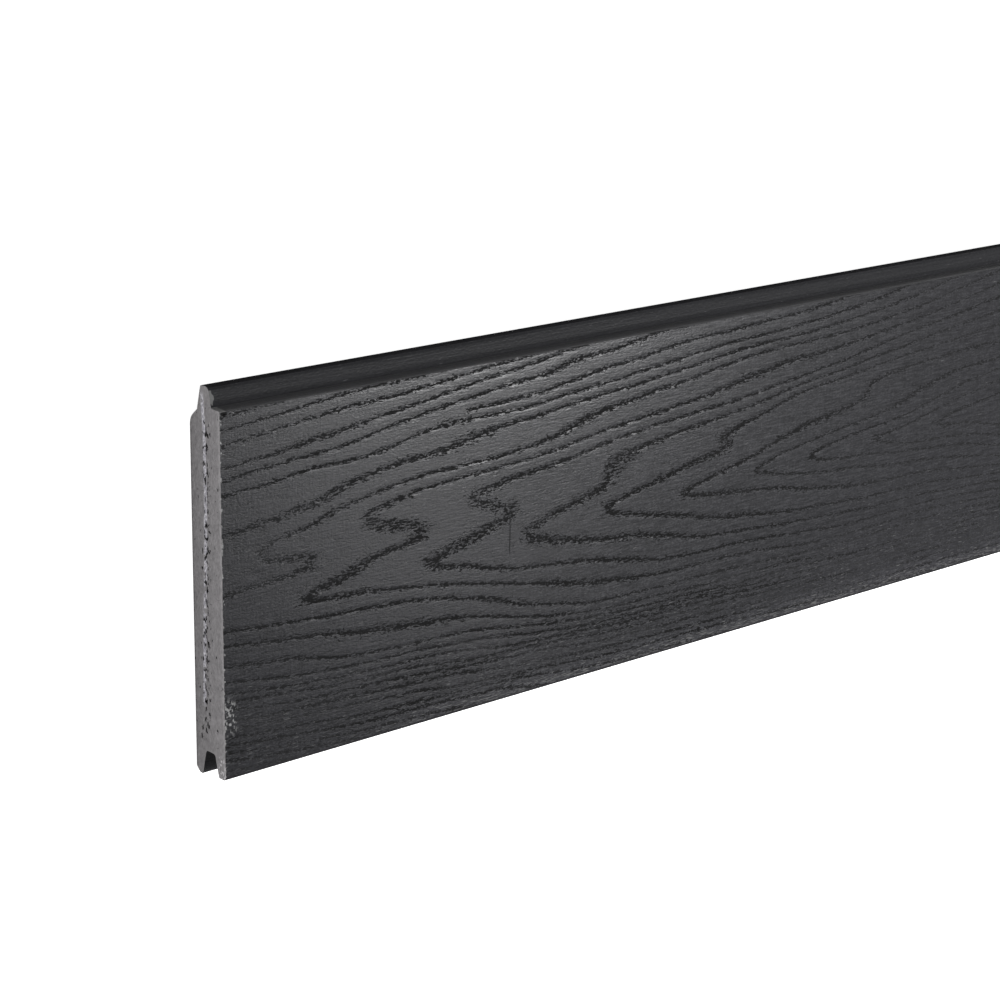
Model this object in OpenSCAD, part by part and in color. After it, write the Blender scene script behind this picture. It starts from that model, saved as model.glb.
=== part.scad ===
// Composite fence board with a tongue and a groove, lying on its back face.
// X runs along the board, Y across it towards the tongue, and Z from the back face to the front face.

/* [Board] */
// Length of the board, sawn square at both ends
board_l = 1830; // [600:10:3660]
// Height of fence that one board covers, from the foot of its front lip to its front shoulder
cover_w = 150; // [100:1:220]
// Thickness from the back face to the front face
board_t = 20; // [19:0.5:28]

/* [Tongue] */
// Height of the tongue above the front shoulder
tongue_h = 8; // [6:0.5:12]
// Thickness of the tongue at the level of the front shoulder
tongue_root_t = 9; // [7:0.25:10]
// Thickness between the two flanks of the tongue at its top
tongue_tip_t = 5; // [4.5:0.25:6.5]
// Radius of the top corner on the tongue's front flank
tongue_front_r = 2.2; // [0.4:0.1:2.4]
// Radius of the top corner on the tongue's back flank
tongue_back_r = 1.2; // [0.4:0.1:2]
// Radius of the two inner corners where the tongue leaves its shoulders
tongue_fillet_r = 0.6; // [0.2:0.1:1.5]

/* [Groove] */
// Clearance on each side between the groove and a tongue that stands in it
side_gap = 0.8; // [0.3:0.1:1]
// Clearance between the bottom of the groove and the top of a tongue
root_gap = 1.2; // [0.5:0.1:3]
// Radius of the two corners at the bottom of the groove
groove_root_r = 1.5; // [0.3:0.1:2]

/* [Lips] */
// How much lower the back lip reaches than the front lip
back_lip_drop = 1.6; // [0:0.1:2.2]
// Chamfer between the back face and the foot of the back lip
back_lip_chamfer = 2.3; // [0.5:0.1:2.4]
// Radius between the front face and the foot of the front lip
front_lip_r = 1.5; // [0.3:0.1:2.2]
// Radius of the lips' other edges
lip_edge_r = 0.6; // [0.2:0.1:0.8]

/* [Shoulders] */
// Fall of the front shoulder from the tongue to the front face, which sheds rain
front_shoulder_fall = 0.2; // [0:0.1:2]
// Radius between the front shoulder and the front face
front_arris_r = 0.4; // [0.3:0.1:2.2]
// Gap left under a back lip when the front lip above it sits on its shoulder
back_gap = 0.4; // [0.2:0.1:2]
// Fall of the back shoulder from the tongue to the back face
back_shoulder_fall = 4.2; // [1:0.1:8]
// Radius between the back shoulder and the back face
back_shoulder_r = 6; // [1:0.5:7]

/* [Hidden] */

// Flat steps in each rounded corner
arc_steps = 8;

// Height of the plane midway between the faces, which the tongue and the groove share
mid_t = board_t / 2;
// How much each flank of the tongue leans in for each millimetre of height
flank_lean = (tongue_root_t - tongue_tip_t) / 2 / tongue_h;
groove_d = tongue_h + root_gap;
back_shoulder_drop = back_lip_drop + back_gap;

// The whole section's reach along Y, from the foot of the back lip to the top of the tongue
section_low = -back_lip_drop;
section_high = cover_w + tongue_h;

// Half the tongue's thickness at a height above the front shoulder
function tongue_half(h) = tongue_root_t / 2 - flank_lean * h;

// Half the groove's width at a height above the foot of the front lip
function groove_half(h) = tongue_half(h) + side_gap;

function unit(v) = v / norm(v);

function turned(v, angle) = [
    v.x * cos(angle) - v.y * sin(angle),
    v.x * sin(angle) + v.y * cos(angle)
];

// The arc that rounds corner b between its neighbours a and c, no larger than half of either side allows
function corner_arc(a, b, c, r) =
    let (
        to_a = unit(a - b),
        to_c = unit(c - b),
        half_angle = acos(to_a * to_c) / 2,
        longest_tangent = min(norm(a - b), norm(c - b)) / 2,
        radius = min(r, longest_tangent * tan(half_angle)),
        centre = b + unit(to_a + to_c) * radius / sin(half_angle),
        first = b + to_a * radius / tan(half_angle) - centre,
        turn = sign(cross(to_c, to_a)) * (180 - 2 * half_angle)
    )
    [for (i = [0 : arc_steps]) centre + turned(first, turn * i / arc_steps)];

// The corners of the section as [y, z, radius], from the foot of the back face round by the front face
section_corners = [
    [section_low + back_lip_chamfer, 0, lip_edge_r],
    [section_low, back_lip_chamfer, lip_edge_r],
    [section_low, mid_t - groove_half(section_low), lip_edge_r],
    [groove_d, mid_t - groove_half(groove_d), groove_root_r],
    [groove_d, mid_t + groove_half(groove_d), groove_root_r],
    [0, mid_t + groove_half(0), lip_edge_r],
    [0, board_t, front_lip_r],
    [cover_w - front_shoulder_fall, board_t, front_arris_r],
    [cover_w, mid_t + tongue_half(0), tongue_fillet_r],
    [section_high, mid_t + tongue_half(tongue_h), tongue_front_r],
    [section_high, mid_t - tongue_half(tongue_h), tongue_back_r],
    [cover_w - back_shoulder_drop, mid_t - tongue_half(-back_shoulder_drop), tongue_fillet_r],
    [cover_w - back_shoulder_drop - back_shoulder_fall, 0, back_shoulder_r]
];

// The section with every corner rounded, seen along the board
module section() {
    n = len(section_corners);
    places = [for (corner = section_corners) [corner.x, corner.y]];
    polygon([
        for (i = [0 : n - 1])
            each corner_arc(places[(i + n - 1) % n], places[i], places[(i + 1) % n], section_corners[i].z)
    ]);
}

// One extruded length of the section, centred over the middle of its own outline
module fence_board() {
    color([0.16, 0.16, 0.17])
        translate([-board_l / 2, -(section_low + section_high) / 2, 0])
            rotate([90, 0, 90])
                linear_extrude(board_l)
                    section();
}

fence_board();
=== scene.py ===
"""Composite fence board: the looks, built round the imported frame. Lengths are in metres unless a name says mm."""

import math

import bmesh
import bpy
import numpy as np
from mathutils import Matrix, Vector
from mathutils.geometry import delaunay_2d_cdt


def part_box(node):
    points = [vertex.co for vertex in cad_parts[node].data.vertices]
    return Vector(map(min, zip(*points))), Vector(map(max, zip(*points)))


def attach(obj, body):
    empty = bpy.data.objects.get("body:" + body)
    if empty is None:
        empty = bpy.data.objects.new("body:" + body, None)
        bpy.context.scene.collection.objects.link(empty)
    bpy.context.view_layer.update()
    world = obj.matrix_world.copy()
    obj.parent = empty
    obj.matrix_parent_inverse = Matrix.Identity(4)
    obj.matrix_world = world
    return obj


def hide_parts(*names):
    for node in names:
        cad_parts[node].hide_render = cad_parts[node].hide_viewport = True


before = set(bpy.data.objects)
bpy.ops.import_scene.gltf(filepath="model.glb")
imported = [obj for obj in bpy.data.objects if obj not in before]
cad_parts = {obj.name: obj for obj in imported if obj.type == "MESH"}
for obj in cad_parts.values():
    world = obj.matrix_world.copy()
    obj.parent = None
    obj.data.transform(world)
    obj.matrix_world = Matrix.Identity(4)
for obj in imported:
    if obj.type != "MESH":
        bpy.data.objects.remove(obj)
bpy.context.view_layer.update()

MM = 0.001
SEED = 7

# The board in the frame
NODE = "fence_board"
LOW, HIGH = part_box(NODE)
NEAR_X = LOW.x
FAR_X = HIGH.x
LENGTH_MM = (FAR_X - NEAR_X) / MM

# Mesh of the front face
CLOSE_MM = 500.0
CLOSE_STEP_MM = 2.6
FAR_STEP_MM = 4.75
ROW_STEP_MM = 1.04
COARSE = 4
SIDE_STEP_MM = 4.0
ARC_STEP_MM = 0.25

# Embossing
GROOVE_DEPTH_MM = 0.12
NEVER = 4.0

# The thin dark scratch across the face
SCRATCH_ALONG_MM = 146.0
SCRATCH_LOW_MM = 62.0
SCRATCH_HIGH_MM = 83.0

# The chip in the front arris at the near end, whose notch the mesh lacks, so its dark spot is painted shade, as
# (middle, half its reach)
CHIP_SHADE_ALONG_MM = (1.9, 1.7)
CHIP_SHADE_ACROSS_MM = (148.8, 1.2)

# The pale smear beside it that the saw left on the tongue, as (middle, half its reach)
SMEAR_ALONG_MM = (0.0, 1.9)
SMEAR_ACROSS_MM = (153.9, 3.0)

# Above this the tongue's skin turns over its top, and is dark and dull
TONGUE_TOP_MM = 157.5

# How much lower the back lip reaches than the front lip
BACK_LIP_MM = 1.6

# Faces all lower than this belong to the back face
BACK_LEVEL_MM = 1.0

# Sawn ends
SAWN_STEP_MM = 2.0
SAWN_ROUGH_MM = 0.12
PORE_DEPTH_MM = 1.4
CORE_LOW_MM = 6.4
CORE_RISE_MM = 3.1
CORE_LEAN_MM = 1.3
PORE_SIDES = 7
# Clusters of pores: mm from the foot of the front lip, mm from the core line, how many
PORE_CLUSTERS = (
    (141, 1.0, 2), (134, 1.6, 3), (127, -0.5, 4), (115, 0.0, 2), (103, -0.6, 3), (91, 1.5, 4), (90, -1.6, 3),
    (77, 1.6, 4), (70, 1.0, 4), (62, 0.4, 3), (57, 1.6, 4), (53, 2.0, 4), (49, 0.6, 4), (41, 1.8, 3),
    (31, 2.6, 5), (23, 2.0, 4), (17, -0.8, 2),
)

# The bake map: its margin, the front face's strips, and where the outline's strip and the ends start
MAP_EDGE = 0.008
FRONT_STRIPS = 3
FRONT_SCALE = 1 / 622
STRIP_STEP = 0.252
SIDE_FOOT = 0.764
SIDE_TALL = 0.135
END_FOOT = 0.915
END_SCALE = 1 / 333

# The camera stands where the photograph's perspective puts it
FOCAL_PX = 2572.7
PHOTO_PX = 1000.0
SENSOR_MM = 36.0
CAMERA_PLACE = (-1.44765, 0.31650, 0.79709)
CAMERA_TURN = math.radians(40.887)
CAMERA_TILT = math.radians(16.524)
CAMERA_ROLL = math.radians(-0.846)

# Light
WORLD_LEVEL = 0.4
FLOOR_GLOW = 0.85
LAMP_DISTANCE = 1.5
# Two lamps over the face: the place that mirrors each one in mm along the board and up its face, its size and level
SHEEN_LAMPS = {"key": ((111.0, 242.0), 0.24, 205.0), "low_key": ((76.0, 98.0), 0.10, 110.0)}
# One lamp beside the near end, which lights the sawn face: its place from the end's middle, its size and level
SIDE_PLACE = (-1.2, 0.25, 0.2)
SIDE_SIZE = 0.6
SIDE_LEVEL = 8.0

# Growth rings of the embossed figure: ring number, then places along it as
# (mm from the near end, mm up the front face from the foot of the front lip).
# Low numbers lie outside, and each ring bends back at its tip.
RINGS = [
    (-8, (0, 142), (28, 145), (90, 149)),
    (-7, (0, 135), (28, 139), (60, 142), (102, 145), (149, 149)),
    (-6, (0, 127), (21, 129), (46, 132), (90, 137), (140, 144), (182, 149)),
    (-5, (0, 122), (52, 126), (90, 132), (140, 138), (175, 141), (185, 145), (197, 145), (230, 149)),
    (-4, (127, 131), (152, 132), (185, 136), (235, 141), (290, 144), (349, 149)),
    (-3, (0, 117), (46, 121), (90, 124), (115, 127), (152, 127), (202, 131), (242, 135), (302, 139), (350, 143)),
    (-2, (0, 101), (27, 104), (46, 107), (59, 112), (90, 116), (127, 117), (152, 122), (202, 127), (252, 131)),
    (-2, (277, 134), (350, 138)),
    (-1, (17, 91), (46, 99), (65, 103), (102, 108), (152, 110), (175, 113), (204, 120), (245, 125), (300, 131)),
    (-1, (350, 133), (21, 87), (38, 83), (27, 79), (0, 75)),
    (-1, (0, 62), (40, 59), (96, 55), (127, 49), (152, 41), (175, 37), (196, 34), (227, 33), (277, 32)),
    (0, (74, 95), (84, 99), (115, 103), (175, 107), (234, 113), (277, 118), (290, 121), (321, 125), (350, 127)),
    (0, (82, 91), (99, 85), (77, 78), (52, 71), (39, 67)),
    (0, (60, 64), (96, 61), (140, 53), (175, 47), (215, 41), (290, 37), (331, 34)),
    (1, (128, 93), (139, 96), (152, 99), (190, 103), (252, 109), (290, 112), (324, 116), (350, 119)),
    (1, (141, 87), (147, 85), (134, 79), (115, 72), (101, 69)),
    (1, (120, 64), (140, 59), (175, 55), (215, 49), (237, 45), (290, 43), (327, 40)),
    (2, (157, 71), (170, 77), (199, 85), (206, 90), (216, 99), (252, 103), (277, 105), (301, 109), (350, 115)),
    (2, (162, 69), (190, 63), (240, 55), (285, 49), (327, 46)),
    (3, (201, 76), (221, 81), (257, 87), (277, 91), (273, 94), (290, 100), (321, 108), (350, 111)),
    (3, (206, 72), (240, 65), (265, 59), (302, 54), (327, 51)),
    (4, (251, 73), (277, 79), (315, 89), (350, 95), (367, 101), (402, 110)),
    (4, (262, 70), (296, 67), (340, 60)),
    (5, (296, 76), (327, 83), (358, 87), (394, 94), (465, 104), (300, 74), (327, 69), (389, 62)),
    (6, (331, 76), (377, 84), (402, 87), (340, 74), (373, 70), (415, 66)),
    (7, (373, 77), (406, 82), (440, 88), (465, 92), (381, 75), (406, 71)),
    (8, (415, 77), (431, 82), (466, 85), (430, 76), (461, 71)),
    (-2, (0, 56), (40, 52), (65, 48), (96, 45), (140, 39)),
    (-3, (6, 47), (40, 42), (77, 37), (115, 36)),
    (-4, (37, 36), (100, 33)),
    (-2.5, (0, 109), (30, 112), (60, 117)),
]

# The fork of ring -4, which starts part way along
FORK_RING = -4
FORK_X_MM = 120.0
FORK_Y_MM = 100.0

# Spots of the figure, as (mm along, mm up, reach along, reach up, strength): where the grooves
# are fainter, and where they spread into a broad band
FAINT_SPOTS = (
    (14, 83, 26, 12, -0.55), (20, 95, 14, 5, -0.3), (74, 94, 10, 4, -0.2), (128, 92, 9, 4, -0.2),
    (42, 105, 30, 6, -0.3), (4, 132, 28, 26, -0.4),
)
BOLD_SPOTS = (
    (88, 87, 16, 6, 1.5), (76, 95, 10, 3, 1.2), (138, 85, 12, 6, 1.5), (122, 74, 16, 6, 1.1), (210, 93, 9, 7, 1.6),
    (160, 71, 12, 5, 1.0), (115, 128, 8, 4, 1.1), (45, 105, 26, 5, 0.8), (34, 83, 8, 4, 1.0), (60, 74, 20, 6, 0.5),
    (128, 94, 10, 3, 1.0), (270, 94, 10, 5, 0.7), (190, 80, 14, 5, 0.6),
)

# The fine rings below the figure
FINE_FROM = ((0, 40), (37, 36), (100, 33), (200, 25), (300, 22), (480, 19))
FINE_STEP_MM = 3.6


def smoothstep(low, high, value):
    t = np.clip((value - low) / (high - low), 0.0, 1.0)
    return t * t * (3.0 - 2.0 * t)


def plain_rings(x, y):
    """The ring number at each place of a plain flat-sawn board, whose arches close on an island at mid-length."""
    axis = 74.0 + 2.0 * np.sin(x / 210.0)
    tip_spacing, straight, island, turn = 43.0, 480.0, 900.0, 1300.0
    start = -1.7
    along = start + np.minimum(x, straight) / tip_spacing
    past = np.clip(x - straight, 0.0, turn - straight)
    reach = island - straight
    along = along + (past - past**2 / (2.0 * reach)) / tip_spacing
    along = along - np.maximum(x - turn, 0.0) * (turn - island) / reach / tip_spacing
    above = np.maximum(y - axis, 0.0)
    below = np.maximum(axis - y, 0.0)
    soft = 6.0
    rise = 0.14 * (np.sqrt(above**2 + soft**2) - soft)
    fall = 0.13 * (np.sqrt(below**2 + soft**2) - soft) + 0.0012 * below**2
    return along - rise - fall


class RingField:
    """The ring number all over the face: the plain rings, bent with least bending through the RINGS places."""

    STRETCH = 4.0
    STIFFNESS = 30.0

    def __init__(self):
        places = [(x, y, n) for n, *points in RINGS for x, y in points]
        line_x, line_y = zip(*FINE_FROM)
        for x in range(0, 481, 60):
            top = np.interp(x, line_x, line_y)
            places += [(x, top - FINE_STEP_MM * k, FORK_RING - k) for k in range(2, 11, 3)]
        for x in range(580, int(LENGTH_MM) + 80, 125):
            for y in range(0, 160, 25):
                places.append((x, y, float(plain_rings(np.array(float(x)), np.array(float(y))))))
        self.places = np.array(places, dtype=float)
        x, y, ring = self.places.T
        count = len(x)
        matrix = np.zeros((count + 3, count + 3))
        matrix[:count, :count] = self.kernel(x, y) + self.STIFFNESS * np.eye(count)
        plane = np.stack([np.ones(count), x / self.STRETCH, y], axis=1)
        matrix[:count, count:] = plane
        matrix[count:, :count] = plane.T
        target = np.concatenate([ring - plain_rings(x, y), np.zeros(3)])
        self.weights = np.linalg.solve(matrix, target)

    def kernel(self, x, y):
        along = (x[:, None] - self.places[None, :, 0]) / self.STRETCH
        across = y[:, None] - self.places[None, :, 1]
        return np.hypot(along, across) ** 3

    def at(self, x, y):
        out = plain_rings(x, y)
        count = len(self.places)
        flat_x, flat_y, flat = x.ravel(), y.ravel(), out.ravel()
        for first in range(0, flat.size, 20000):
            part = slice(first, first + 20000)
            flat[part] += self.kernel(flat_x[part], flat_y[part]) @ self.weights[:count]
            flat[part] += self.weights[count] + self.weights[count + 1] * flat_x[part] / self.STRETCH
            flat[part] += self.weights[count + 2] * flat_y[part]
        return flat.reshape(x.shape)


def section_outline(node):
    """The section's corners as (y, z), in order round its edge, read from the near end of the CAD node."""
    mesh = bmesh.new()
    mesh.from_mesh(node.data)
    bmesh.ops.remove_doubles(mesh, verts=mesh.verts, dist=1e-6)
    links = {}
    for edge in mesh.edges:
        at_end = all(abs(v.co.x - NEAR_X) < 1e-6 for v in edge.verts)
        if at_end and sum(f.normal.x < -0.9 for f in edge.link_faces) == 1:
            a, b = edge.verts
            links.setdefault(a.index, []).append(b.index)
            links.setdefault(b.index, []).append(a.index)
    mesh.verts.ensure_lookup_table()
    start = next(iter(links))
    walk = [start, links[start][0]]
    while walk[-1] != start:
        ahead = [k for k in links[walk[-1]] if k != walk[-2]]
        walk.append(ahead[0])
    outline = [(mesh.verts[k].co.y, mesh.verts[k].co.z) for k in walk[:-1]]
    mesh.free()
    return outline


def split_outline(outline):
    """The front face's two edges as y, and the rest of the outline from its high edge round to its low edge."""
    count = len(outline)
    fronts = []
    for k in range(count):
        a, b = outline[k], outline[(k + 1) % count]
        if abs(a[1] - HIGH.z) < 1e-6 and abs(b[1] - HIGH.z) < 1e-6:
            fronts.append((abs(b[0] - a[0]), k))
    k = max(fronts)[1]
    if outline[k][0] > outline[(k + 1) % count][0]:
        outline = outline[::-1]
        k = count - 2 - k
    turned = [outline[(k + 1 + i) % count] for i in range(count)]
    return turned[-1][0], turned[0][0], turned


def resampled(path):
    """The path with its tiniest steps dropped and its long ones divided."""
    kept = [path[0]]
    for point in path[1:-1]:
        if math.dist(point, kept[-1]) >= ARC_STEP_MM * MM:
            kept.append(point)
    kept.append(path[-1])
    out = [kept[0]]
    for a, b in zip(kept, kept[1:]):
        parts = max(1, math.ceil(math.dist(a, b) / (SIDE_STEP_MM * MM)))
        for k in range(1, parts + 1):
            t = k / parts
            out.append((a[0] + (b[0] - a[0]) * t, a[1] + (b[1] - a[1]) * t))
    return out


def columns_mm():
    """Distances along the board at which the front face has a column of vertices."""
    close = round(CLOSE_MM / CLOSE_STEP_MM / COARSE) * COARSE
    far = round((LENGTH_MM - CLOSE_MM) / FAR_STEP_MM / COARSE) * COARSE
    return np.concatenate([
        np.linspace(0.0, CLOSE_MM, close + 1)[:-1],
        np.linspace(CLOSE_MM, LENGTH_MM, far + 1),
    ])


def lattice_noise(x, y, cell_x, cell_y, seed):
    """Smooth noise from -1 to 1 between random values on a lattice with cells of that many mm."""
    rng = np.random.default_rng(seed)
    u, v = x / cell_x + 8.0, y / cell_y + 8.0
    values = rng.uniform(-1.0, 1.0, (int(u.max()) + 3, int(v.max()) + 3))
    i, j = np.floor(u).astype(int), np.floor(v).astype(int)
    s, t = smoothstep(0.0, 1.0, u - i), smoothstep(0.0, 1.0, v - j)
    low = values[i, j] * (1.0 - s) + values[i + 1, j] * s
    high = values[i, j + 1] * (1.0 - s) + values[i + 1, j + 1] * s
    return low * (1.0 - t) + high * t


def ring_number(field, x, y):
    """The ring number with the small wander of real grain, which is wilder among the fine rings low on the face."""
    fine = smoothstep(42.0, 24.0, y)
    wander = 0.10 * lattice_noise(x, y, 34.0, 9.0, SEED) + 0.04 * lattice_noise(x, y, 11.0, 4.0, SEED + 1)
    wild = 0.30 * lattice_noise(x, y, 70.0, 6.0, SEED + 2) + 0.10 * lattice_noise(x, y, 24.0, 3.0, SEED + 3)
    return field.at(x, y) + wander + fine * wild


def ellipse_sum(spots, x, y):
    """Sum of soft spots (x, y, reach along, reach across, strength) in mm."""
    total = np.zeros_like(x)
    for at_x, at_y, reach_x, reach_y, strength in spots:
        total += strength * np.exp(-(((x - at_x) / reach_x) ** 2 + ((y - at_y) / reach_y) ** 2))
    return total


def ring_ink(x, y):
    """How strongly the grooves are printed, from 0 to 1."""
    fine = smoothstep(42.0, 24.0, y)
    ink = 0.95 + 0.15 * lattice_noise(x, y, 26.0, 7.0, SEED + 4)
    ink -= 0.30 * smoothstep(240.0, 440.0, x)
    ink -= fine * (0.24 - 0.40 * lattice_noise(x, y, 32.0, 4.5, SEED + 5))
    ink -= 0.22 * smoothstep(70.0, 10.0, x) * smoothstep(75.0, 50.0, y)
    return np.clip(ink + ellipse_sum(FAINT_SPOTS, x, y), 0.0, 1.0)


def ring_distance(field, x, y):
    """Signed distance to the nearest ring in mm, and the ring's half width there, with the step that reaches it."""
    step = 0.4
    ring = ring_number(field, x, y)
    slope_x = (ring_number(field, x + step, y) - ring_number(field, x - step, y)) / (2 * step)
    slope_y = (ring_number(field, x, y + step) - ring_number(field, x, y - step)) / (2 * step)
    steep = np.maximum(np.hypot(slope_x, slope_y), 0.02)
    nearest = np.round(ring)
    hidden = (nearest == FORK_RING) & (x < FORK_X_MM) & (y > FORK_Y_MM)
    off = ring - nearest
    off = np.where(hidden, 1.0 - np.abs(off), off)
    distance = off / steep
    to_ring = np.stack([-off * slope_x, -off * slope_y]) / steep**2
    half_width = np.clip(0.088 / steep, 0.52, 1.1) * (1.0 + ellipse_sum(BOLD_SPOTS, x, y))
    return np.abs(distance), half_width, to_ring, hidden


def front_grid(field, low_y, high_y):
    """The front face's vertices, snapped to the rings and sunk into them, and how far each is from a ring."""
    foot = LOW.y + BACK_LIP_MM * MM
    x_mm = columns_mm()
    rows = round((high_y - low_y) / (ROW_STEP_MM * MM))
    y_mm = np.linspace((low_y - foot) / MM, (high_y - foot) / MM, rows + 1)
    x, y = np.meshgrid(x_mm, y_mm, indexing="ij")
    distance, half_width, to_ring, hidden = ring_distance(field, x, y)
    cell_x = np.gradient(x_mm)[:, None]
    cell_y = np.gradient(y_mm)[None, :]
    near = (np.abs(to_ring[0]) < 0.45 * cell_x) & (np.abs(to_ring[1]) < 0.45 * cell_y) & ~hidden
    near[0, :] = near[-1, :] = False
    near[:, 0] = near[:, -1] = False
    x = x + np.where(near, to_ring[0], 0.0)
    y = y + np.where(near, to_ring[1], 0.0)
    distance, half_width, to_ring, hidden = ring_distance(field, x, y)
    distance = np.where(near, 0.0, distance)
    loose = 0.85 * np.clip(ellipse_sum(BOLD_SPOTS, x, y), 0.0, 1.0)
    ratio = np.clip(distance / half_width, loose, NEVER)
    strength = ring_ink(x, y)
    depth = GROOVE_DEPTH_MM * strength * np.maximum(0.0, 1.0 - ratio**2) * smoothstep(-25.0, 60.0, y)
    depth[:, 0] = depth[:, -1] = 0.0
    place = np.stack([NEAR_X + x * MM, foot + y * MM, np.full_like(x, HIGH.z) - depth * MM], axis=-1)
    return place, ratio, strength


def front_faces(index, z):
    """Two triangles for each cell, split along the deeper diagonal so that a groove runs on unbroken."""
    a, b = index[:-1, :-1], index[1:, :-1]
    c, d = index[1:, 1:], index[:-1, 1:]
    ac = z[:-1, :-1] + z[1:, 1:]
    bd = z[1:, :-1] + z[:-1, 1:]
    one = np.where((ac <= bd)[..., None], np.stack([a, b, c], -1), np.stack([a, b, d], -1))
    two = np.where((ac <= bd)[..., None], np.stack([a, c, d], -1), np.stack([b, c, d], -1))
    return np.concatenate([one.reshape(-1, 3), two.reshape(-1, 3)])


def seam_faces(fine, coarse):
    """Triangles between a row of fine vertices and a row with one vertex for every COARSE of them."""
    faces = []
    for k in range(len(coarse) - 1):
        stretch = fine[k * COARSE : (k + 1) * COARSE + 1]
        half = COARSE // 2
        faces += [(coarse[k], stretch[i], stretch[i + 1]) for i in range(half)]
        faces.append((coarse[k], stretch[half], coarse[k + 1]))
        faces += [(coarse[k + 1], stretch[i], stretch[i + 1]) for i in range(half, COARSE)]
    return faces


def build_board():
    """The board as one closed mesh."""
    low_y, high_y, path = split_outline(section_outline(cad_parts[NODE]))
    path = resampled(path)
    field = RingField()
    front, ratio, strength = front_grid(field, low_y, high_y)
    columns, rows = ratio.shape
    verts = [front.reshape(-1, 3)]
    front_index = np.arange(columns * rows).reshape(columns, rows)
    lengths = np.linalg.norm(np.diff(np.array(path), axis=0), axis=1).cumsum()
    faces = [front_faces(front_index, front[..., 2])]
    coarse_x = front[::COARSE, 0, 0]
    inner = np.array(path[1:-1])
    side = np.zeros((len(coarse_x), len(inner), 3))
    side[..., 0] = coarse_x[:, None]
    side[..., 1] = inner[None, :, 0]
    side[..., 2] = inner[None, :, 1]
    side_index = columns * rows + np.arange(side.shape[0] * side.shape[1]).reshape(side.shape[:2])
    verts.append(side.reshape(-1, 3))
    run = np.zeros(columns * rows + side[..., 0].size)
    run[front_index[:, 0]] = lengths[-1]
    run[side_index] = lengths[:-1]
    a, b = side_index[:-1, :-1], side_index[1:, :-1]
    c, d = side_index[1:, 1:], side_index[:-1, 1:]
    faces.append(np.stack([a, b, c], -1).reshape(-1, 3))
    faces.append(np.stack([a, c, d], -1).reshape(-1, 3))
    high_seam = seam_faces(front_index[:, -1], side_index[:, 0])
    low_seam = seam_faces(front_index[:, 0], side_index[:, -1])
    faces.append(np.array(high_seam)[:, ::-1])
    faces.append(np.array(low_seam))
    mesh = bpy.data.meshes.new("board")
    all_verts = np.concatenate(verts)
    near_loop = list(front_index[0, :]) + list(side_index[0, :])
    far_loop = list(front_index[-1, :]) + list(side_index[-1, :])
    all_faces = np.concatenate(faces)
    pit = np.zeros(len(all_verts))
    front_count = len(faces[0])
    side_count = len(all_faces)
    for loop, inward in ((near_loop, 1), (far_loop, -1)):
        extra, cap, pits = end_cap(all_verts[loop], inward)
        numbers = np.concatenate([np.array(loop), len(all_verts) + np.arange(len(extra))])
        all_verts = np.concatenate([all_verts, extra])
        all_faces = np.concatenate([all_faces, numbers[cap]])
        pit = np.concatenate([pit, pits])
        run = np.concatenate([run, np.zeros(len(extra))])
    mesh.from_pydata(all_verts.tolist(), [], all_faces.tolist())
    mesh.update()
    board = bpy.data.objects.new("board", mesh)
    bpy.context.scene.collection.objects.link(board)
    groove = np.full(len(all_verts), NEVER)
    groove[: columns * rows] = ratio.ravel()
    ink = np.ones(len(all_verts))
    ink[: columns * rows] = strength.ravel()
    for name, values in (("groove", groove), ("ink", ink), ("pit", pit)):
        layer = mesh.attributes.new(name, "FLOAT", "POINT")
        layer.data.foreach_set("value", values.astype(np.float32))
    mesh.materials.append(face_material())
    mesh.materials.append(edge_material("moulded_edge", 0.0135, 0.04))
    mesh.materials.append(sawn_material())
    mesh.materials.append(back_material())
    mesh.materials.append(edge_material("tongue_top", 0.012, 0.0))
    region = np.zeros(len(all_faces), dtype=np.int32)
    region[front_count:side_count] = 1
    region[side_count:] = 2
    on_back = (all_verts[all_faces][:, :, 2] < BACK_LEVEL_MM * MM).all(axis=1)
    region[on_back & (region == 1)] = 3
    on_top = (all_verts[all_faces][:, :, 1] > LOW.y + (BACK_LIP_MM + TONGUE_TOP_MM) * MM).all(axis=1)
    region[on_top & (region == 1)] = 4
    mesh.polygons.foreach_set("material_index", region)
    add_bake_map(mesh, all_verts, all_faces, region, run)
    print("triangles", len(all_faces))
    mesh.shade_smooth()
    mesh.set_sharp_from_angle(angle=math.radians(38))
    return board


def add_bake_map(mesh, verts, faces, region, run):
    """A UV map for the baked picture: the front face in strips, then the rest of the outline, then the two ends."""
    along = (verts[:, 0] - NEAR_X) / MM
    across = (verts[:, 1] - LOW.y) / MM
    up = verts[:, 2] / MM
    u, v = np.zeros(faces.shape), np.zeros(faces.shape)
    front = faces[region == 0]
    strip = LENGTH_MM / FRONT_STRIPS
    number = np.minimum(along[front].min(axis=1) // strip, FRONT_STRIPS - 1)[:, None]
    u[region == 0] = MAP_EDGE + (along[front] - number * strip) * FRONT_SCALE
    v[region == 0] = MAP_EDGE + number * STRIP_STEP + (across[front] - BACK_LIP_MM) * FRONT_SCALE
    side = (region == 1) | (region == 3) | (region == 4)
    u[side] = MAP_EDGE + along[faces[side]] / LENGTH_MM * (1.0 - 2.0 * MAP_EDGE)
    v[side] = SIDE_FOOT + run[faces[side]] / run.max() * SIDE_TALL
    near = (region == 2) & (along[faces].max(axis=1) < LENGTH_MM / 2)
    far = (region == 2) & ~near
    u[near] = 0.5 - MAP_EDGE - across[faces[near]] * END_SCALE
    u[far] = 0.5 + MAP_EDGE + across[faces[far]] * END_SCALE
    v[near | far] = END_FOOT + up[faces[near | far]] * END_SCALE
    layer = mesh.uv_layers.new(name="OFBake")
    layer.data.foreach_set("uv", np.stack([u, v], axis=-1).astype(np.float32).ravel())


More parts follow.
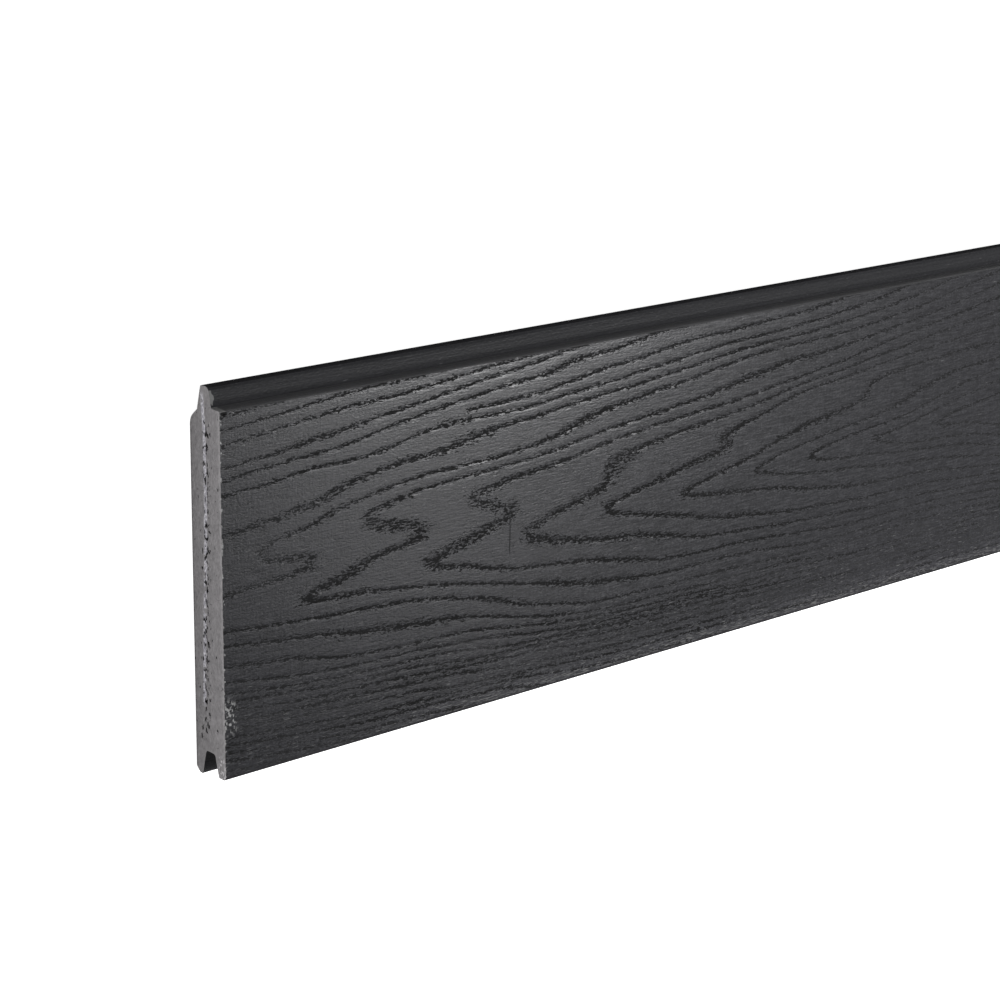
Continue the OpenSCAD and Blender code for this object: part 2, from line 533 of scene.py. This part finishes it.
def pore_places(rng):
    """The sawn end's larger pores as (y, z, half length, half width) in mm, which keep clear of each other."""
    pores = []
    for cluster_y, off_core, count in PORE_CLUSTERS:
        for _ in range(count):
            y = cluster_y + rng.normal(0.0, 2.6)
            z = core_height(y) + off_core + rng.normal(0.0, 0.9)
            long, wide = rng.uniform(0.7, 2.1), rng.uniform(0.45, 0.95)
            clear = all(math.hypot((y - p[0]) / (long + p[2] + 0.5), (z - p[1]) / (wide + p[3] + 0.4)) > 1.0 for p in pores)
            if clear and 13.0 < y < 146.0 and 3.0 < z < 17.0:
                pores.append((y, z, long, wide))
    return pores


def core_height(y):
    """Height in mm of the bright core line above the back face, at y mm from the foot of the front lip."""
    return CORE_LOW_MM + CORE_RISE_MM * float(smoothstep(20.0, 120.0, y))


def end_cap(loop, inward):
    """Filler vertices and triangles of a sawn end inside its loop of vertices, with pitted pores, and each pit's depth."""
    rng = np.random.default_rng(SEED + (0 if inward > 0 else 1))
    count = len(loop)
    points = [Vector((y, z)) for _, y, z in loop]
    depths = [0.0] * count
    edges = []
    pores = pore_places(rng)
    foot = LOW.y + BACK_LIP_MM * MM
    for y, z, long, wide in pores:
        for share, depth in ((1.0, 0.0), (0.6, PORE_DEPTH_MM)):
            first = len(points)
            for k in range(PORE_SIDES):
                angle = 2.0 * math.pi * k / PORE_SIDES
                reach = share * rng.uniform(0.75, 1.0)
                place = (foot + (y + long * reach * math.cos(angle)) * MM, (z + wide * reach * math.sin(angle)) * MM)
                points.append(Vector(place))
                depths.append(depth)
                edges.append((first + k, first + (k + 1) % PORE_SIDES))
    step = SAWN_STEP_MM * MM
    for y in np.arange(LOW.y, HIGH.y, step):
        for z in np.arange(LOW.z, HIGH.z, step):
            spot = Vector((y + rng.uniform(-0.3, 0.3) * step, z + rng.uniform(-0.3, 0.3) * step))
            y_mm, z_mm = (spot.x - foot) / MM, spot.y / MM
            if all(math.hypot((y_mm - p[0]) / (p[2] + 0.2), (z_mm - p[1]) / (p[3] + 0.2)) > 1.0 for p in pores):
                points.append(spot)
                depths.append(rng.uniform(0.0, SAWN_ROUGH_MM))
    found, _, triangles, origins, _, _ = delaunay_2d_cdt(points, edges, [list(range(count))], 1, 1e-7)
    number = {k: origin[0] for k, origin in enumerate(origins) if origin and origin[0] < count}
    extra, pits = [], []
    for k in sorted({k for triangle in triangles for k in triangle}):
        if k not in number:
            depth = depths[origins[k][0]] if origins[k] else 0.0
            number[k] = count + len(extra)
            extra.append((loop[0][0] + inward * depth * MM, found[k].x, found[k].y))
            pits.append(depth / PORE_DEPTH_MM)
    cap = np.array([[number[k] for k in triangle] for triangle in triangles])
    corners = [found[k] for k in triangles[0]]
    turn = (corners[1] - corners[0]).cross(corners[2] - corners[0])
    if turn * inward > 0:
        cap = cap[:, ::-1]
    return np.array(extra), cap, np.array(pits)


class Graph:
    """Makes and links the nodes of one material or of the world."""

    def __init__(self, owner):
        owner.use_nodes = True
        self.owner = owner
        self.tree = owner.node_tree
        self.tree.nodes.clear()

    def node(self, kind, inputs=None, **settings):
        made = self.tree.nodes.new(kind)
        for name, value in settings.items():
            setattr(made, name, value)
        for name, value in (inputs or {}).items():
            self.put(made.inputs[name], value)
        return made

    def put(self, socket, value):
        if isinstance(value, bpy.types.NodeSocket):
            self.tree.links.new(value, socket)
        else:
            socket.default_value = value

    def math(self, operation, *values, clamp=False):
        made = self.node("ShaderNodeMath", operation=operation, use_clamp=clamp)
        for socket, value in zip(made.inputs, values):
            self.put(socket, value)
        return made.outputs[0]

    def attribute(self, name):
        return self.node("ShaderNodeAttribute", attribute_name=name).outputs["Fac"]

    def place_mm(self):
        """Millimetres from the board's near end, from the foot of its front lip and from its back face."""
        place = self.node("ShaderNodeTexCoord").outputs["Object"]
        return self.node(
            "ShaderNodeVectorMath",
            {0: place, 1: (1 / MM,) * 3, 2: (-NEAR_X / MM, -(LOW.y / MM + BACK_LIP_MM), 0.0)},
            operation="MULTIPLY_ADD",
        ).outputs[0]

    def split(self, vector):
        return self.node("ShaderNodeSeparateXYZ", {0: vector}).outputs[:3]

    def noise(self, place, along, across, detail=2.0, depth=None, shift=0.0):
        """Noise from 0 to 1 about 0.5, with features that long in mm along the board, across it and through it."""
        scale = (1 / along, 1 / across, 1 / (depth or across))
        at = self.node("ShaderNodeVectorMath", {0: place, 1: scale, 2: (shift,) * 3}, operation="MULTIPLY_ADD")
        made = self.node("ShaderNodeTexNoise", {"Vector": at.outputs[0], "Scale": 1.0, "Detail": detail})
        return made.outputs["Fac"]

    def step(self, value, low, high):
        """0 where value is at low and 1 where it is at high, smooth between them."""
        made = self.node("ShaderNodeMapRange", {"Value": value, "From Min": low, "From Max": high},
                         interpolation_type="SMOOTHSTEP")
        return made.outputs[0]

    def spread(self, value, centre, amount):
        """centre plus or minus amount as noise value runs from 0.5 up or down by 0.25."""
        return self.math("MULTIPLY_ADD", value, 4.0 * amount, centre - 2.0 * amount)

    def mix(self, factor, a, b, blend="MIX"):
        made = self.node("ShaderNodeMix", {0: factor, 6: a, 7: b}, data_type="RGBA", blend_type=blend)
        return made.outputs[2]

    def seen(self):
        """1 for the rays that show a surface as a background: straight, mirrored and seen through something."""
        ray = self.node("ShaderNodeLightPath")
        either = self.math("MAXIMUM", ray.outputs["Is Camera Ray"], ray.outputs["Is Glossy Ray"])
        return self.math("MAXIMUM", either, ray.outputs["Is Transmission Ray"])

    def square_off(self, value, centre, reach):
        """The square of how far value is from centre, where 1 is at reach."""
        off = self.math("MULTIPLY_ADD", value, 1.0 / reach, -centre / reach)
        return self.math("MULTIPLY", off, off)

    def grey_of(self, value):
        return self.node("ShaderNodeCombineColor", {0: value, 1: value, 2: value}).outputs[0]

    def finish(self, color, roughness, height=None, specular=0.15):
        """Principled shader, with height in mm as bump."""
        inputs = {"Base Color": color, "Roughness": roughness, "Specular IOR Level": specular}
        if height is not None:
            bump = self.node("ShaderNodeBump", {"Height": height, "Distance": MM, "Strength": 1.0})
            inputs["Normal"] = bump.outputs[0]
        shader = self.node("ShaderNodeBsdfPrincipled", inputs)
        self.node("ShaderNodeOutputMaterial", {"Surface": shader.outputs[0]})
        return self.owner


def grey(value, blue=1.03):
    return (value, value, value * blue, 1.0)


def pale_flecks(g, place, amount):
    """Short pale fibres that lie along the board, denser where amount is higher."""
    fleck = g.noise(place, 4.6, 0.40, detail=1.0, shift=31.0)
    return g.step(g.math("ADD", fleck, amount), 0.72, 0.80)


def face_material():
    """The embossed front face: ragged grooves, dark partly by their own colour and partly by painted shade, in a
    finely fibred, slightly glossy skin.
    """
    g = Graph(bpy.data.materials.new("embossed_face"))
    place = g.place_mm()
    along, across, _ = g.split(place)
    strokes = g.noise(place, 3.4, 0.62)
    grit = g.noise(place, 1.2, 0.6, shift=5.0)
    fibre = g.noise(place, 8.0, 0.9, detail=3.0, shift=11.0)
    weave = g.noise(place, 0.9, 6.0, shift=17.0)
    cloud = g.noise(place, 60.0, 25.0, shift=23.0)
    ink = g.attribute("ink")
    rag = g.math("ADD", g.spread(strokes, 0.0, 1.7), g.spread(grit, 0.0, 1.8))
    edge = g.math("ADD", g.attribute("groove"), g.math("MULTIPLY_ADD", ink, -1.0, g.math("ADD", rag, 1.0)))
    line = g.math("MULTIPLY", g.step(edge, 1.25, 0.85), g.math("MULTIPLY_ADD", ink, 0.5, 0.5))
    scratch = g.math("ABSOLUTE", g.math("SUBTRACT", along, SCRATCH_ALONG_MM))
    scratch = g.math("MULTIPLY", g.step(scratch, 0.45, 0.1), g.step(across, SCRATCH_LOW_MM, SCRATCH_LOW_MM + 5.0))
    scratch = g.math("MULTIPLY", scratch, g.step(across, SCRATCH_HIGH_MM, SCRATCH_HIGH_MM - 4.0))
    line = g.math("MAXIMUM", line, g.math("MULTIPLY", scratch, 0.85))
    tone = g.math("MULTIPLY", g.spread(fibre, 1.0, 0.30), g.spread(weave, 1.0, 0.18))
    tone = g.math("MULTIPLY", tone, g.math("MULTIPLY", g.spread(cloud, 1.0, 0.08), g.spread(grit, 1.0, 0.35)))
    # Paler in a band along the foot of the face, away from the near end
    paler_foot_band = g.math("MULTIPLY", g.step(across, 13.0, 3.0), g.step(along, 30.0, 150.0))
    tone = g.math("MULTIPLY", tone, g.math("MULTIPLY_ADD", paler_foot_band, 0.45, 1.0))
    skin = g.mix(1.0, grey(0.0160, 1.12), g.grey_of(tone), "MULTIPLY")
    lower = g.math("MULTIPLY", g.step(across, 60.0, 10.0), 0.06)
    foot = g.math("MULTIPLY", g.step(across, 9.0, 2.0), g.math("MULTIPLY", g.step(along, 30.0, 170.0), 0.13))
    flecks = pale_flecks(g, place, g.math("ADD", lower, foot))
    color = g.mix(flecks, skin, grey(0.078, 1.0))
    # The grooves' near-black is partly their own darker colour and partly painted shade in the grooves
    color = g.mix(line, color, grey(0.0036))
    rim = g.math("ADD", along, g.spread(g.noise(place, 2.0, 2.2, shift=41.0), 0.0, 0.9))
    worn = g.math("MULTIPLY", g.step(rim, 0.5, 0.0), g.step(g.noise(place, 1.5, 1.6, shift=43.0), 0.50, 0.60))
    burr_y = g.math("MULTIPLY", g.step(across, 17.0, 22.0), g.step(across, 36.0, 29.0))
    burr = g.math("MULTIPLY", g.step(along, 7.0, 3.5), burr_y)
    burr = g.math("MULTIPLY", burr, g.step(g.noise(place, 1.3, 2.2, shift=47.0), 0.52, 0.60))
    color = g.mix(g.math("MAXIMUM", worn, burr), color, grey(0.19, 1.0))
    # The chip's near-black is painted shade of a notch that the mesh doesn't have
    chip_shade = g.math("ADD", g.square_off(along, *CHIP_SHADE_ALONG_MM), g.square_off(across, *CHIP_SHADE_ACROSS_MM))
    chip_shade = g.step(chip_shade, 1.0, 0.5)
    color = g.mix(chip_shade, color, grey(0.002))
    line = g.math("MULTIPLY_ADD", chip_shade, 0.8, line)
    gloss = g.math("ADD", g.spread(fibre, 0.26, 0.045), g.spread(grit, 0.0, 0.03))
    roughness = g.math("MULTIPLY_ADD", line, 0.55, gloss)
    height = g.math("MULTIPLY_ADD", line, -0.03, g.spread(fibre, 0.0, 0.012))
    height = g.math("ADD", height, g.math("ADD", g.spread(grit, 0.0, 0.016), g.spread(weave, 0.0, 0.007)))
    return g.finish(color, roughness, height, specular=0.06)


def edge_material(name, skin, specular):
    """The tongue, the lips and the groove: plain, with fine streaks from the die."""
    g = Graph(bpy.data.materials.new(name))
    place = g.place_mm()
    streaks = g.noise(place, 30.0, 0.9, detail=3.0)
    grit = g.noise(place, 1.6, 0.8, shift=5.0)
    tone = g.math("MULTIPLY", g.spread(streaks, 1.0, 0.18), g.spread(grit, 1.0, 0.20))
    color = g.mix(1.0, grey(skin, 1.10), g.grey_of(tone), "MULTIPLY")
    color = g.mix(pale_flecks(g, place, 0.0), color, grey(0.06, 1.05))
    along, across, up = g.split(place)
    smear = g.math("ADD", g.square_off(along, *SMEAR_ALONG_MM), g.square_off(across, *SMEAR_ACROSS_MM))
    smear = g.math("ADD", smear, g.spread(g.noise(place, 1.1, 1.3, shift=71.0), 0.0, 0.45))
    smear = g.math("MULTIPLY", g.step(smear, 1.1, 0.7), g.step(up, 11.0, 12.5))
    foot = g.step(g.math("ABSOLUTE", g.math("SUBTRACT", across, 149.9)), 0.6, 0.2)
    foot = g.math("MULTIPLY", foot, g.step(up, 13.0, 14.5))
    color = g.mix(g.math("MULTIPLY", foot, 0.6), color, grey(0.05))
    smear = g.math("MAXIMUM", smear, g.math("MULTIPLY", foot, g.step(along, 3.4, 2.2)))
    color = g.mix(smear, color, grey(0.095, 1.0))
    height = g.math("ADD", g.spread(streaks, 0.0, 0.03), g.spread(grit, 0.0, 0.03))
    return g.finish(color, g.spread(streaks, 0.45, 0.05), height, specular)


def sawn_material():
    """The sawn ends: paler, with a bright core line, dark specks, pores painted near-black deep in their pits as
    painted shade, and a lighter rim.
    """
    g = Graph(bpy.data.materials.new("sawn_end"))
    place = g.place_mm()
    _, across, up = g.split(place)
    blotch = g.noise(place, 9.0, 5.0, depth=2.5)
    grain = g.noise(place, 1.2, 1.6, shift=3.0, depth=0.8)
    wander = g.noise(place, 9.0, 6.0, shift=13.0)
    tone = g.math("MULTIPLY", g.spread(blotch, 1.0, 0.18), g.spread(grain, 1.0, 0.20))
    rim = g.step(g.math("ADD", up, g.spread(grain, 0.0, 0.3)), 18.2, 19.2)
    tone = g.math("MULTIPLY", tone, g.math("MULTIPLY_ADD", rim, 0.22, 1.0))
    back = g.step(g.math("ADD", up, g.spread(grain, 0.0, 0.3)), 1.2, 0.2)
    tone = g.math("MULTIPLY", tone, g.math("MULTIPLY_ADD", back, -0.35, 1.0))
    stuff = g.mix(1.0, (0.19, 0.183, 0.187, 1.0), g.grey_of(tone), "MULTIPLY")
    rise = g.step(across, 20.0, 120.0)
    core = g.math("MULTIPLY_ADD", rise, CORE_RISE_MM, g.spread(wander, CORE_LOW_MM, 0.14))
    core = g.math("MULTIPLY_ADD", g.step(across, 138.0, 157.0), -CORE_LEAN_MM, core)
    off_core = g.math("SUBTRACT", up, core)
    line = g.math("ADD", g.math("ABSOLUTE", off_core), g.spread(grain, 0.0, 0.22))
    line = g.step(line, 1.4, 0.5)
    run = g.math("MULTIPLY", g.step(across, 26.0, 31.0), g.step(across, 157.0, 152.0))
    broken = g.step(g.noise(place, 5.0, 3.5, shift=19.0), 0.36, 0.44)
    line = g.math("MULTIPLY", line, g.math("MULTIPLY", run, broken))
    glint = g.step(g.noise(place, 1.0, 1.2, shift=53.0, depth=0.8), 0.45, 0.62)
    bright = g.mix(glint, (0.29, 0.282, 0.31, 1.0), (0.52, 0.51, 0.54, 1.0))
    color = g.mix(line, stuff, bright)
    band = g.step(g.math("ABSOLUTE", g.math("SUBTRACT", off_core, 1.4)), 3.6, 0.6)
    band = g.math("MULTIPLY", band, g.math("MULTIPLY", g.step(across, 14.0, 18.0), g.step(across, 148.0, 142.0)))
    speck = g.math("ADD", g.noise(place, 2.0, 2.6, shift=29.0, depth=1.3), g.math("MULTIPLY", band, 0.13))
    speck = g.step(speck, 0.68, 0.73)
    # Near-black: the dark specks, and painted shade deep in the pits of the pores
    specks_and_pit_shade = g.math("MAXIMUM", speck, g.step(g.attribute("pit"), 0.15, 0.5))
    color = g.mix(specks_and_pit_shade, color, grey(0.004))
    chips = g.math("MULTIPLY", g.step(across, 11.0, 7.0), g.step(up, 14.5, 16.5))
    chips = g.math("MULTIPLY", chips, g.step(g.noise(place, 1.0, 1.8, shift=67.0, depth=1.2), 0.52, 0.60))
    color = g.mix(chips, color, (0.42, 0.41, 0.42, 1.0))
    height = g.math("MULTIPLY_ADD", speck, -0.3, g.spread(grain, 0.0, 0.14))
    return g.finish(color, 0.75, height, specular=0.08)


def back_material():
    """The hidden back face: plain, with the long shallow streaks of an extruded face."""
    g = Graph(bpy.data.materials.new("extruded_back"))
    place = g.place_mm()
    streaks = g.noise(place, 120.0, 1.6, detail=3.0, shift=61.0)
    grit = g.noise(place, 1.4, 0.9, shift=5.0)
    tone = g.math("MULTIPLY", g.spread(streaks, 1.0, 0.16), g.spread(grit, 1.0, 0.12))
    color = g.mix(1.0, grey(0.026), g.grey_of(tone), "MULTIPLY")
    color = g.mix(pale_flecks(g, place, -0.02), color, grey(0.07))
    height = g.math("ADD", g.spread(streaks, 0.0, 0.03), g.spread(grit, 0.0, 0.02))
    return g.finish(color, g.spread(streaks, 0.45, 0.05), height)


def make_stage():
    """A pale floor that reads as white, and keeps the board's soft shadow."""
    mesh = bpy.data.meshes.new("floor")
    reach = 40.0
    corners = [(-reach, -reach, 0), (reach, -reach, 0), (reach, reach, 0), (-reach, reach, 0)]
    mesh.from_pydata(corners, [], [(0, 1, 2, 3)])
    floor = bpy.data.objects.new("floor", mesh)
    bpy.context.scene.collection.objects.link(floor)
    g = Graph(bpy.data.materials.new("pale_floor"))
    glow = g.node("ShaderNodeEmission", {"Color": (1, 1, 1, 1), "Strength": g.math("MULTIPLY", g.seen(), FLOOR_GLOW)})
    pale = g.node("ShaderNodeBsdfDiffuse", {"Color": (0.8, 0.8, 0.8, 1)})
    both = g.node("ShaderNodeAddShader", {0: glow.outputs[0], 1: pale.outputs[0]})
    g.node("ShaderNodeOutputMaterial", {"Surface": both.outputs[0]})
    mesh.materials.append(g.owner)


def area_light(name, place, target, size, radiance):
    """A round lamp at place that faces target, whose face shines at that radiance."""
    lamp = bpy.data.lights.new(name, "AREA")
    lamp.shape = "DISK"
    lamp.size = size
    lamp.energy = radiance * math.pi * math.pi * (size / 2) ** 2
    light = bpy.data.objects.new(name, lamp)
    light.location = place
    light.rotation_euler = (target - place).to_track_quat("-Z", "Y").to_euler()
    bpy.context.scene.collection.objects.link(light)


def make_light():
    """An even white studio, two lamps whose reflection is the sheen on the face, and one beside the sawn end."""
    world = bpy.data.worlds.new("studio")
    bpy.context.scene.world = world
    g = Graph(world)
    level = g.math("MULTIPLY_ADD", g.seen(), 1.0 - WORLD_LEVEL, WORLD_LEVEL)
    back = g.node("ShaderNodeBackground", {"Color": (1, 1, 1, 1), "Strength": level})
    g.node("ShaderNodeOutputWorld", {"Surface": back.outputs[0]})
    for name, ((along, up), size, level) in SHEEN_LAMPS.items():
        spot = Vector((NEAR_X + along * MM, LOW.y + (BACK_LIP_MM + up) * MM, HIGH.z))
        from_spot = (Vector(CAMERA_PLACE) - spot).normalized()
        mirrored = Vector((-from_spot.x, -from_spot.y, from_spot.z))
        area_light(name, spot + mirrored * LAMP_DISTANCE, spot, size, level)
    end = Vector((NEAR_X, 0.0, HIGH.z / 2))
    area_light("side", end + Vector(SIDE_PLACE), end, SIDE_SIZE, SIDE_LEVEL)


def make_camera():
    lens = bpy.data.cameras.new("camera")
    lens.sensor_width = SENSOR_MM
    lens.lens = FOCAL_PX / PHOTO_PX * SENSOR_MM
    lens.clip_end = 200.0
    camera = bpy.data.objects.new("camera", lens)
    turn = Matrix.Rotation(CAMERA_ROLL, 3, "Z") @ Matrix.Rotation(CAMERA_TILT, 3, "X")
    turn = turn @ Matrix.Rotation(CAMERA_TURN, 3, "Y")
    camera.matrix_world = Matrix.Translation(CAMERA_PLACE) @ turn.transposed().to_4x4()
    bpy.context.scene.collection.objects.link(camera)
    bpy.context.scene.camera = camera


make_camera()
make_stage()
make_light()
board = build_board()
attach(board, "root")
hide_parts(NODE)
bpy.context.scene.view_settings.view_transform = "Standard"
